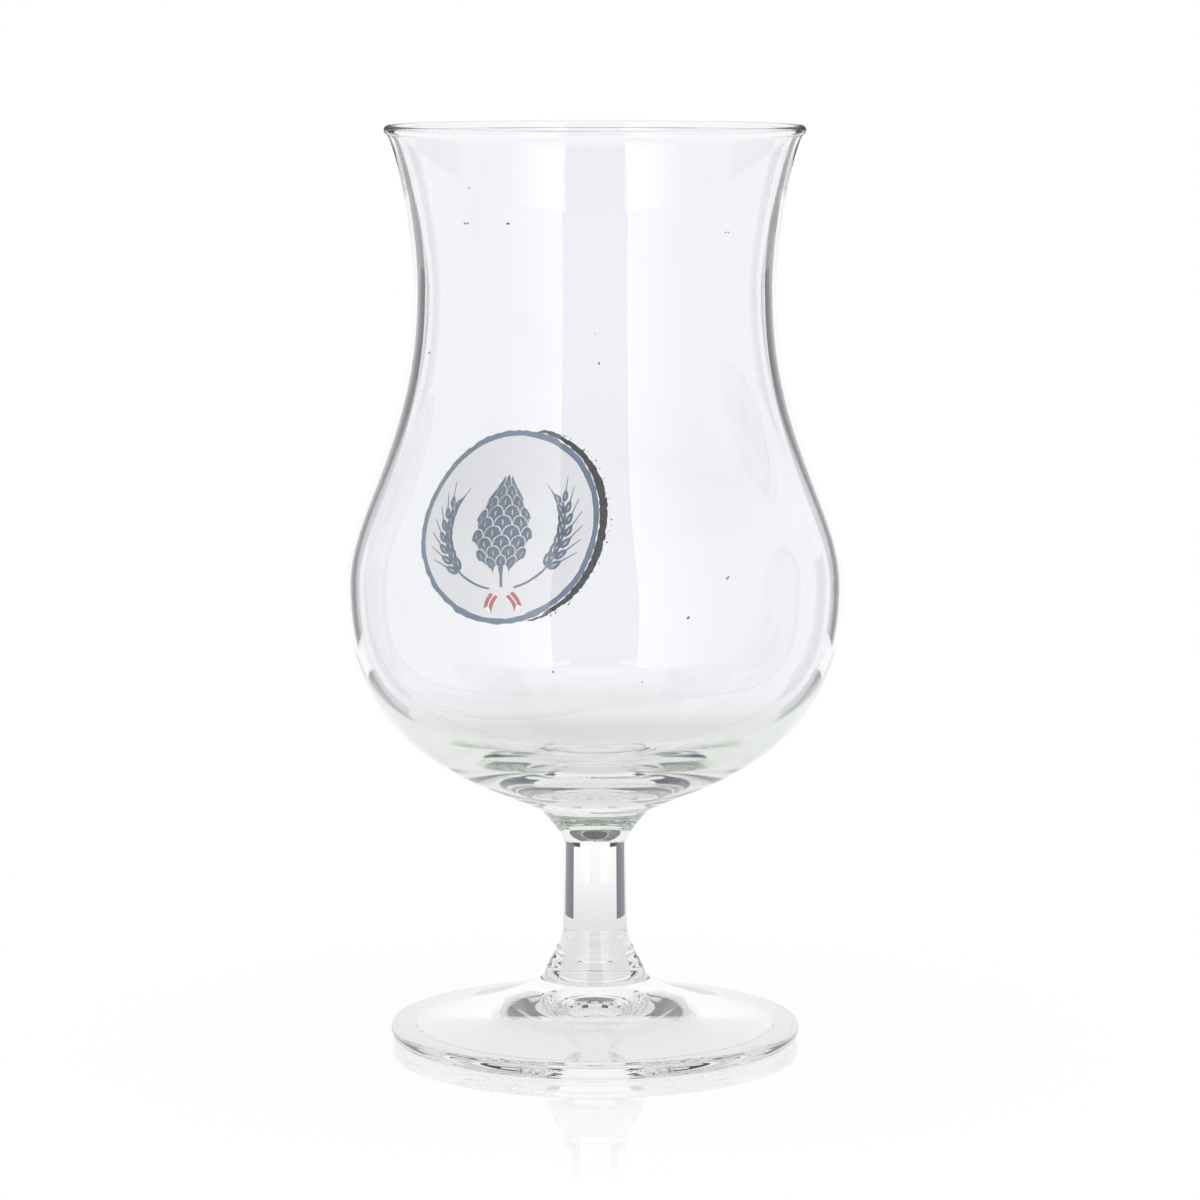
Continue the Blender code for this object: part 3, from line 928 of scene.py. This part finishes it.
def scaleLoops():  # one scale of the lattice, a unit wide: pointed above, cut out below by its neighbours
    s = hopSet
    upper = []  # from the tip down to the shoulder
    for i in range(s["scaleSteps"] + 1):
        t = i / s["scaleSteps"]
        upper.append((0.5 * math.sin(t * quarter) ** s["scaleRound"], 1.0 - t ** s["scalePoint"]))
    lower = [(0.5 - u, v - 1.0) for u, v in upper]
    loop = mirrored(upper + lower[1:])
    middle = sum(v for u, v in loop) / len(loop)
    across, up = 1 - s["gapAcross"] * s["gap"], 1 - s["gap"]
    return [[(u * across, middle + (v - middle) * up) for u, v in loop], lens(*s["vein"])]


def latticeTree():  # stamps one shape on a brick lattice of points
    tree, given = newGroup(
        "brickLattice", "Geometry",
        {"Stamp": "Geometry", "Columns": "Int", "Rows": "Int", "Material": "Material"},
        {"Scales": "Geometry"})
    high = mathNode(tree, "SUBTRACT", given["Rows"], 1.0)
    grid = addNode(tree, "GeometryNodeMeshGrid", {
        "Vertices X": mathNode(tree, "ADD", given["Columns"], 1.0),
        "Vertices Y": given["Rows"],
        "Size X": given["Columns"],
        "Size Y": high,
    })
    place = splitXYZ(tree, addNode(tree, "GeometryNodeInputPosition").outputs[0])
    fromFoot = mathNode(tree, "ADD", place["Y"], product(tree, high, 0.5))
    odd = mathNode(tree, "MODULO", mathNode(tree, "ROUND", fromFoot), 2.0)
    moved = joinXYZ(tree, X=mathNode(tree, "ADD", place["X"], product(tree, odd, 0.5)), Y=fromFoot)
    shift = addNode(tree, "GeometryNodeSetPosition", {"Geometry": grid.outputs["Mesh"], "Position": moved})
    limit = mathNode(tree, "SUBTRACT", product(tree, given["Columns"], 0.5), hopSet["overhang"])
    over = mathNode(tree, "GREATER_THAN", mathNode(tree, "ABSOLUTE", place["X"]), limit)
    trim = addNode(tree, "GeometryNodeDeleteGeometry", {"Geometry": shift.outputs[0], "Selection": over},
                   domain="POINT")
    stamps = addNode(tree, "GeometryNodeInstanceOnPoints",
                     {"Points": trim.outputs[0], "Instance": given["Stamp"]})
    return closeGroup(tree, stamps.outputs[0], given["Material"])


def coneWarp(across, up):  # lattice units to print coordinates
    s = hopSet
    rows = s["rows"] + s["lastRow"]
    share = min(1.0, min(max(up / rows, 0.0), 1.0) + s["footStart"])
    swell = math.sin(math.pi * share ** s["fullness"])
    half = s["halfWidth"] * (s["tipWidth"] + (1 - s["tipWidth"]) * swell)
    side = 2 * across / s["columns"]
    bulge = (1 + s["bulge"]) * side - s["bulge"] * side ** 3
    droop = s["droop"] * side * side
    return half * bulge, s["foot"] + (s["top"] - s["foot"]) * (up - droop) / rows


def buildHop():
    s = hopSet
    stamp = stampMesh("hopScale", scaleLoops(), s["scaleBend"])
    settings = {"Columns": s["columns"], "Rows": s["rows"]}
    verts, faces = takeFlat(grown("hopScales", stamp, latticeTree(), settings, inks["blue"]))
    films = [([(*coneWarp(across, up), lift) for across, up, lift in verts], faces)]
    right = [(s["stalkWidth"] / 2 * wide, v) for wide, v in s["stalk"]]
    left = [(-u, v) for u, v in right]
    films.append(flatFilm([left[:1] + right + left[:0:-1]], printSet["motifFilm"]))
    inkPiece("hopCone", "hop_cone", films, inks["blue"])


# barley ears: grains with awns along an arc, two by two, on a stalk

earSet = {
    "ringRadius": 11.8 * mm,
    "start": math.radians(12),
    "sweep": math.radians(100),
    "steps": 30,
    "stalkShare": 0.36,
    "stalkWidth": 0.40 * mm,
    "pairs": 7,
    "grainLength": 2.9 * mm,
    "grainWidth": 1.25 * mm,
    "grainSkew": 0.85,  # powers that shape a grain
    "grainRound": 0.75,
    "grainSteps": 8,
    "grainBend": 1.0 * mm,
    "grainLean": math.radians(20),
    "grainOut": 0.42 * mm,  # from the middle of the ear to a grain's root
    "groove": (0.10 * mm, 0.25, 0.5),  # half width, then foot and length as shares of a grain
    "awnLength": 3.4 * mm,
    "awnWidth": 0.24 * mm,
    "awnTip": 0.25,  # half width there, as a share of the awn's width
    "tipSize": 0.74,  # size of the last pair
    "sameSpot": 0.001 * mm,
}


def grainLoops():  # one grain with its awn, growing along +v, with a pale groove
    s = earSet
    right = []
    for i in range(s["grainSteps"] + 1):
        t = i / s["grainSteps"]
        swell = math.sin(math.pi * t ** s["grainSkew"]) ** s["grainRound"]
        right.append((s["grainWidth"] / 2 * swell + s["awnWidth"] / 2 * t, s["grainLength"] * t))
    right.append((s["awnWidth"] * s["awnTip"], s["grainLength"] + s["awnLength"]))
    loop = right + [(-u, v) for u, v in right[::-1]]
    loop = [p for i, p in enumerate(loop) if i == 0 or math.dist(p, loop[i - 1]) > s["sameSpot"]]
    groove = [(u, s["grainLength"] * v) for u, v in lens(*s["groove"])]
    return [[(u + s["grainOut"], v) for u, v in outline] for outline in (loop, groove)]


def earTree():  # stamps a shape in pairs along a path, leaning out to both sides
    tree, given = newGroup(
        "barleyEar", "Geometry",
        {"Path": "Geometry", "Grain": "Object", "Pairs": "Int", "Lean": "Float", "Tip Size": "Float",
         "Material": "Material"},
        {"Ear": "Geometry"})
    curve = addNode(tree, "GeometryNodeMeshToCurve", {0: given["Path"]})
    points = addNode(tree, "GeometryNodeCurveToPoints", {"Curve": curve.outputs[0], "Count": given["Pairs"]},
                     mode="COUNT")
    way = splitXYZ(tree, points.outputs["Tangent"])
    heading = mathNode(tree, "ARCTAN2", product(tree, way["X"], -1.0), way["Y"])
    share = mathNode(tree, "DIVIDE", addNode(tree, "GeometryNodeInputIndex").outputs[0], given["Pairs"])
    size = remap(tree, share, 0.0, 1.0, 1.0, given["Tip Size"])
    grain = addNode(tree, "GeometryNodeObjectInfo", {"Object": given["Grain"]})
    join = addNode(tree, "GeometryNodeJoinGeometry")
    for sign in (-1.0, 1.0):  # the other side is mirrored, and set right when it is laid
        lean = product(tree, given["Lean"], -sign)
        stamps = addNode(tree, "GeometryNodeInstanceOnPoints", {
            "Points": points.outputs["Points"],
            "Instance": grain.outputs["Geometry"],
            "Rotation": joinXYZ(tree, Z=mathNode(tree, "ADD", heading, lean)),
            "Scale": joinXYZ(tree, X=product(tree, size, sign), Y=size, Z=1.0),
        })
        tree.links.new(stamps.outputs[0], join.inputs[0])
    return closeGroup(tree, join.outputs[0], given["Material"])


def buildEars():
    s = earSet
    grain = addObject("barleyGrain", stampMesh("barleyGrain", grainLoops(), s["grainBend"]))
    settings = {"Grain": grain, "Pairs": s["pairs"], "Lean": s["grainLean"], "Tip Size": s["tipSize"]}
    tree = earTree()
    steps, root, half = s["steps"], s["stalkShare"], s["stalkWidth"] / 2
    shares = [i / steps for i in range(steps + 1)]
    for side, word in ((-1, "Left"), (1, "Right")):
        def along(share, out=0.0):
            return onCircle(s["ringRadius"] + out, side * (s["start"] + s["sweep"] * share))

        path = [along(root + (1 - root) * i / steps) for i in range(steps + 1)]
        mesh = addMesh("earPath" + word, [(u, v, 0.0) for u, v in path], chain(len(path)))
        ear = takeFlat(grown("ear" + word, mesh, tree, settings, inks["blue"]))
        stalk = [along(share, half) for share in shares] + [along(1 - share, -half) for share in shares]
        films = [ear, flatFilm([stalk], printSet["motifFilm"])]
        inkPiece("barley" + word, "barley_" + word.lower(), films, inks["blue"])
    bpy.data.objects.remove(grain)


# ribbons under the crossing of the stalks

ribbonSet = {
    "top": -12.75 * mm,
    "spread": 1.5 * mm,
    "lean": math.radians(30),
    "length": 3.2 * mm,
    "width": 1.7 * mm,
    "notch": 0.8 * mm,
    "stripe": 0.26 * mm,  # bare line down the middle
    "curl": 0.22 * mm,
    "curlTurns": 2.2,  # quarter turns of its wave
    "edgeSteps": 5,
    "holeMargin": 0.12 * mm,
}


def onRibbon(side, across, down):
    s = ribbonSet
    u = s["spread"] + down * math.sin(s["lean"]) + across * math.cos(s["lean"])
    return side * u, s["top"] - down * math.cos(s["lean"]) + across * math.sin(s["lean"])


def ribbonLoops(side):
    s = ribbonSet
    half = s["width"] / 2
    loops = []
    for inner, outer in ((-half, -s["stripe"] / 2), (s["stripe"] / 2, half)):
        ends = [s["length"] - s["notch"] * (1 - abs(w) / half) for w in (inner, outer)]
        corners = [(inner, 0.0), (outer, 0.0), (outer, ends[1]), (inner, ends[0])]
        loop = []
        for a, b in zip(corners, corners[1:] + corners[:1]):
            for across, down in line(a, b, s["edgeSteps"])[:-1]:
                curl = s["curl"] * math.sin(s["curlTurns"] * down / s["length"] * quarter)
                loop.append(onRibbon(side, across + curl, down))
        loops.append(loop)
    return loops


def ribbonHole(side):  # the ground stays clear of the red, which would look muddy on it
    margin, length = ribbonSet["holeMargin"], ribbonSet["length"]
    half = ribbonSet["width"] / 2 + margin
    corners = [(-half, -margin), (half, -margin), (half, length), (-half, length)]
    return [onRibbon(side, across, down) for across, down in corners]


def buildRibbons():
    for side, word in ((-1, "Left"), (1, "Right")):
        films = [flatFilm([loop], printSet["motifFilm"]) for loop in ribbonLoops(side)]
        inkPiece("ribbon" + word, "ribbon_" + word.lower(), films, inks["red"])


# ground and border

groundSet = {  # a radius, the points on it, and how far and how finely its edge strays
    "ground": (16.9 * mm, 180, 0.12 * mm, 1.5 * mm),
    "borderOuter": (18.0 * mm, 260, 0.26 * mm, 1.3 * mm),
    "borderInner": (17.0 * mm, 260, 0.14 * mm, 2.6 * mm),
}


def circleLoop(radius, count, size, length):
    return ragged([onCircle(radius, math.tau * i / count) for i in range(count)], size, length)


def buildGround():
    loops = [circleLoop(*groundSet["ground"])] + [ribbonHole(side) for side in (-1, 1)]
    films = [flatFilm(loops, printSet["groundFilm"])]
    inkPiece("badgeGround", "badge_ground", films, inks["ground"])
    loops = [circleLoop(*groundSet[edge]) for edge in ("borderOuter", "borderInner")]
    films = [flatFilm(loops, printSet["groundFilm"])]
    inkPiece("badgeBorder", "badge_border", films, inks["blue"])


# black edge on the right of the border

shadowSet = {
    "inner": groundSet["borderOuter"][0] + 0.15 * mm,
    "widen": 0.12 * mm,  # the outer edge is a wider circle, shifted to the right
    "shift": 1.3 * mm,
    "half": math.radians(76),
    "steps": 150,
    "outerRagged": (0.30 * mm, 0.7 * mm),
    "innerRagged": (0.22 * mm, 0.8 * mm),
    "flecks": 34,  # that the squeegee left beside the band
    "fleckSpan": (-1.0, 0.9),
    "fleckOut": 0.2 * mm,
    "fleckAside": (0.25, 0.75),  # in mm
    "fleckSize": (0.06, 0.17),  # in mm
    "fleckCorners": 7,
    "fleckReach": (0.6, 1.2),
}


def buildShadow():
    s = shadowSet
    angles = [quarter + s["half"] * (2 * i / s["steps"] - 1) for i in range(s["steps"] + 1)]
    outward = [onCircle(s["inner"] + s["widen"], angle, s["shift"]) for angle in angles]
    inward = [onCircle(s["inner"], angle) for angle in angles[::-1]]
    loop = ragged(outward, *s["outerRagged"]) + ragged(inward, *s["innerRagged"])
    films = [flatFilm([loop], printSet["groundFilm"])]
    draw = random.Random(printSet["seed"])
    turns = [math.tau * k / s["fleckCorners"] for k in range(s["fleckCorners"])]
    for _ in range(s["flecks"]):
        angle = quarter + s["half"] * draw.uniform(*s["fleckSpan"])
        aside = draw.uniform(*s["fleckAside"]) * mm
        u, v = onCircle(s["inner"] + s["fleckOut"], angle, s["shift"] + aside)
        size = draw.uniform(*s["fleckSize"]) * mm
        fleck = []
        for turn in turns:
            reach = size * draw.uniform(*s["fleckReach"])
            fleck.append((u + reach * math.cos(turn), v + reach * math.sin(turn)))
        films.append(flatFilm([fleck], printSet["groundFilm"]))
    inkPiece("badgeShadow", "badge_shadow", films, inks["black"])


buildGround()
buildShadow()
buildHop()
buildEars()
buildRibbons()
print("print laid")
